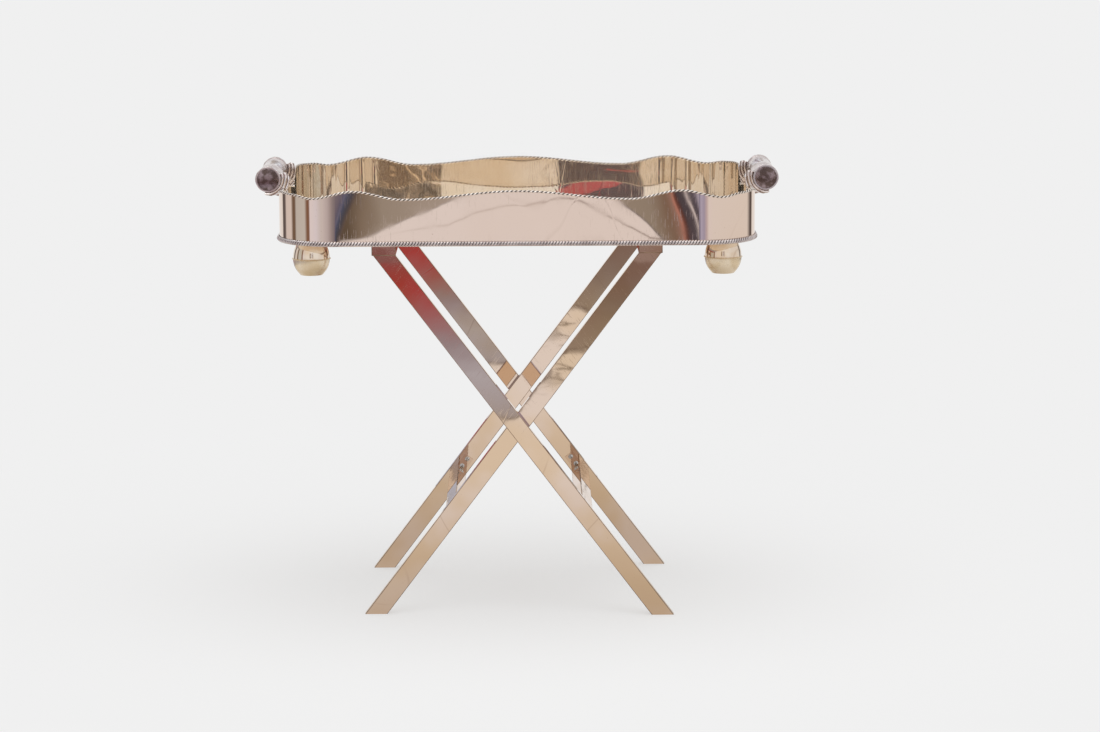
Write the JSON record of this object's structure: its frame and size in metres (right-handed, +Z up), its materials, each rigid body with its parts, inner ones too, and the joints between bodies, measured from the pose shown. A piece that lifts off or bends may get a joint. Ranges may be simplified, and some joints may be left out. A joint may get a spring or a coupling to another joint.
{
  "type": "brass tray table",
  "caption": "Polished brass gallery tray with a serpentine rim, roller handles and ball feet, resting on a folding X stand of rectangular tube.",
  "frame": {"origin": "on the floor, under the middle of the tray and stand", "axes": "+Z up, +X along the tray's length, towards its right handle, +Y towards the back long side"},
  "size_m": [0.881, 0.549, 0.7495],
  "materials": {
    "leg_brass": "polished rosy brass tube, lightly tarnished, fine scratches",
    "rail_brass": "polished brass tube and angle",
    "base_brass": "polished sheet brass with use scratches",
    "wall_brass": "mirror-polished rosy sheet brass",
    "trim_silvered": "silver-plated twisted wire",
    "foot_dome_brass": "spun and mirror-polished",
    "foot_bowl_brass": "spun brass, satin from handling",
    "grip_silvered": "silver-plated, turned and reeded",
    "cap_dark": "dark oxidised silver plate, polished",
    "leaf_silvered": "silver-plated casting",
    "steel_hardware": "plain turned steel",
    "plug_plastic": "moulded black plastic"
  },
  "bodies": {
    "pivots": {"pivot_pin_front": "steel_hardware", "pivot_pin_back": "steel_hardware", "pivot_washer_front": "plug_plastic", "pivot_washer_back": "plug_plastic"},
    "outer_frame": {"outer_leg_front": "leg_brass", "outer_leg_back": "leg_brass", "outer_rail": "rail_brass", "outer_stretcher": "rail_brass", "outer_pivot_block_front": "leg_brass", "outer_pivot_block_back": "leg_brass", "outer_rail_caps": "rail_brass", "outer_foot_plugs": "plug_plastic", "outer_bracket_front": "rail_brass", "outer_bracket_back": "rail_brass", "outer_bracket_screws": "steel_hardware"},
    "inner_frame": {"inner_leg_front": "leg_brass", "inner_leg_back": "leg_brass", "inner_rail": "rail_brass", "inner_stretcher": "rail_brass", "inner_pivot_block_front": "leg_brass", "inner_pivot_block_back": "leg_brass", "inner_rail_caps": "rail_brass", "inner_foot_plugs": "plug_plastic", "inner_bracket_front": "rail_brass", "inner_bracket_back": "rail_brass", "inner_bracket_screws": "steel_hardware"},
    "tray": {"tray_base": "base_brass", "tray_wall": "wall_brass", "rim_wire": "trim_silvered", "base_rope": "trim_silvered", "rail_cleats": "rail_brass", "foot_dome_left_front": "foot_dome_brass", "foot_dome_left_back": "foot_dome_brass", "foot_dome_right_front": "foot_dome_brass", "foot_dome_right_back": "foot_dome_brass", "foot_bowl_left_front": "foot_bowl_brass", "foot_bowl_left_back": "foot_bowl_brass", "foot_bowl_right_front": "foot_bowl_brass", "foot_bowl_right_back": "foot_bowl_brass", "foot_seam_rings": "foot_bowl_brass", "foot_bolts": "steel_hardware", "foot_nuts": "steel_hardware", "grip_left": "grip_silvered", "grip_right": "grip_silvered", "grip_rod_left": "steel_hardware", "grip_rod_right": "steel_hardware", "grip_collars_left": "grip_silvered", "grip_collars_right": "grip_silvered", "grip_cap_left_front": "cap_dark", "grip_cap_left_back": "cap_dark", "grip_cap_right_front": "cap_dark", "grip_cap_right_back": "cap_dark", "handle_leaf_left_front": "leaf_silvered", "handle_leaf_left_back": "leaf_silvered", "handle_leaf_right_front": "leaf_silvered", "handle_leaf_right_back": "leaf_silvered", "handle_rivets": "leaf_silvered"}
  },
  "joints": [
    {"name": "outer_frame_fold", "type": "hinge", "parent": "pivots", "child": "outer_frame", "pos_m": [0, 0, 0.321], "axis": [0, 1, 0], "range_deg": [0, 31]},
    {"name": "inner_frame_fold", "type": "hinge", "parent": "pivots", "child": "inner_frame", "pos_m": [0, 0, 0.321], "axis": [0, -1, 0], "range_deg": [0, 31]},
    {"name": "tray_lift", "type": "slide", "parent": "pivots", "child": "tray", "axis": [0, 0, 1], "range_m": [0, 0.135]}
  ],
  "couplings": [
    {"joint": "inner_frame_fold", "follows": "outer_frame_fold", "ratio": 1},
    {"joint": "tray_lift", "follows": "outer_frame_fold", "m_per_rad": 0.245}
  ]
}
